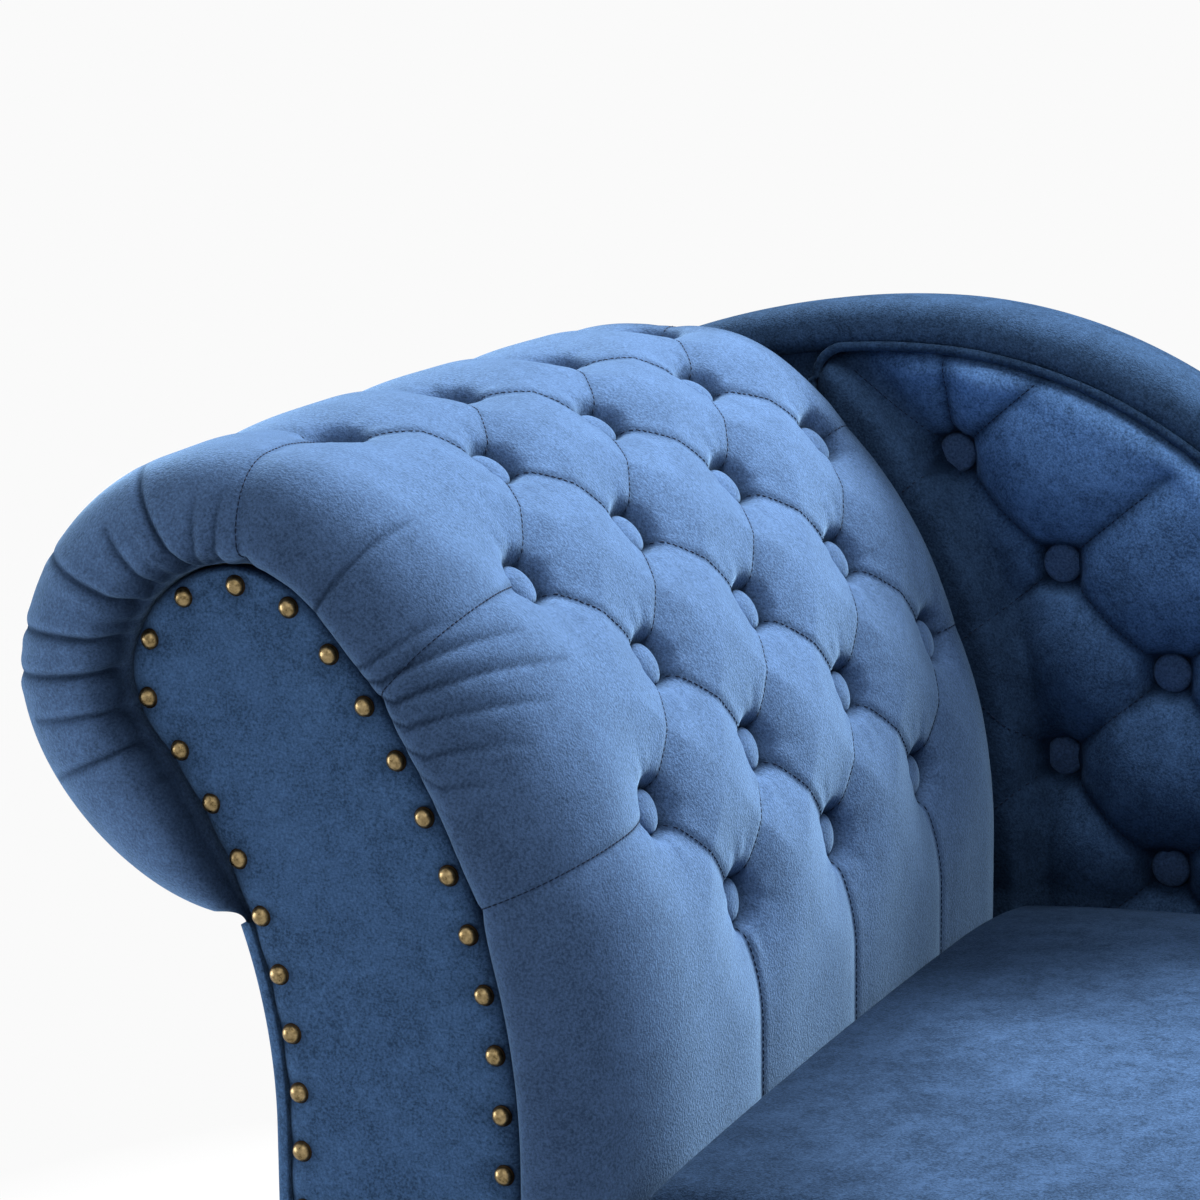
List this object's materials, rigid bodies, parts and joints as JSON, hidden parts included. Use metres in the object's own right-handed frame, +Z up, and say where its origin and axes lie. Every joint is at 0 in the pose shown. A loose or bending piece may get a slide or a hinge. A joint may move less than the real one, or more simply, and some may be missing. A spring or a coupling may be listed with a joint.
{
  "type": "chaise longue",
  "caption": "Velvet chaise longue with a rolled, diamond-tufted arm at its head end, a nail-trimmed scroll facing, a swooping tufted back with a piped band, a crowned seat and turned legs.",
  "frame": {"origin": "on the floor under the middle of the overall length and depth", "axes": "+X along the length from the rolled head end to the foot end, +Y from the open front to the back, +Z up"},
  "size_m": [1.5, 0.68, 0.787],
  "materials": {
    "velvet": "short-pile velvet, soft sheen",
    "hardwood": "planed, unfinished",
    "plywood": "sawn, unfinished",
    "leg_wood": "dark stained satin lacquer",
    "antique_brass": "antiqued, worn bright on the domes",
    "steel": "zinc plated",
    "webbing": "woven elastic strap",
    "hessian": "open jute weave",
    "twine": "waxed cord",
    "dust_cloth": "thin non-woven cloth",
    "glide": "matt"
  },
  "bodies": {
    "root": {"arm_pad": "velvet", "arm_buttons": "velvet", "arm_facing": "velvet", "arm_outside_panel": "velvet", "back_pad": "velvet", "back_buttons": "velvet", "back_band": "velvet", "back_piping": "velvet", "back_outside_panel": "velvet", "seat_pad": "velvet", "seat_border": "velvet", "seat_front_rail": "hardwood", "seat_rear_rail": "hardwood", "seat_head_rail": "hardwood", "seat_foot_rail": "hardwood", "seat_arm_rail": "hardwood", "seat_cross_rails": "hardwood", "corner_blocks": "hardwood", "arm_head_batten": "hardwood", "arm_inner_batten": "hardwood", "arm_outer_batten": "hardwood", "back_stiles": "hardwood", "arm_base_board": "plywood", "arm_front_board": "plywood", "arm_rear_board": "plywood", "back_board": "plywood", "arm_skin": "plywood", "leg_front_head": "leg_wood", "leg_front_foot": "leg_wood", "leg_rear_head": "leg_wood", "leg_rear_foot": "leg_wood", "facing_nails": "antique_brass", "arm_bolts": "steel", "back_bolts": "steel", "leg_bolts": "steel", "seat_cross_webbing": "webbing", "seat_long_webbing": "webbing", "seat_deck_cloth": "hessian", "arm_button_twine": "twine", "back_button_twine": "twine", "dust_cover": "dust_cloth", "leg_glides": "glide"}
  },
  "joints": []
}
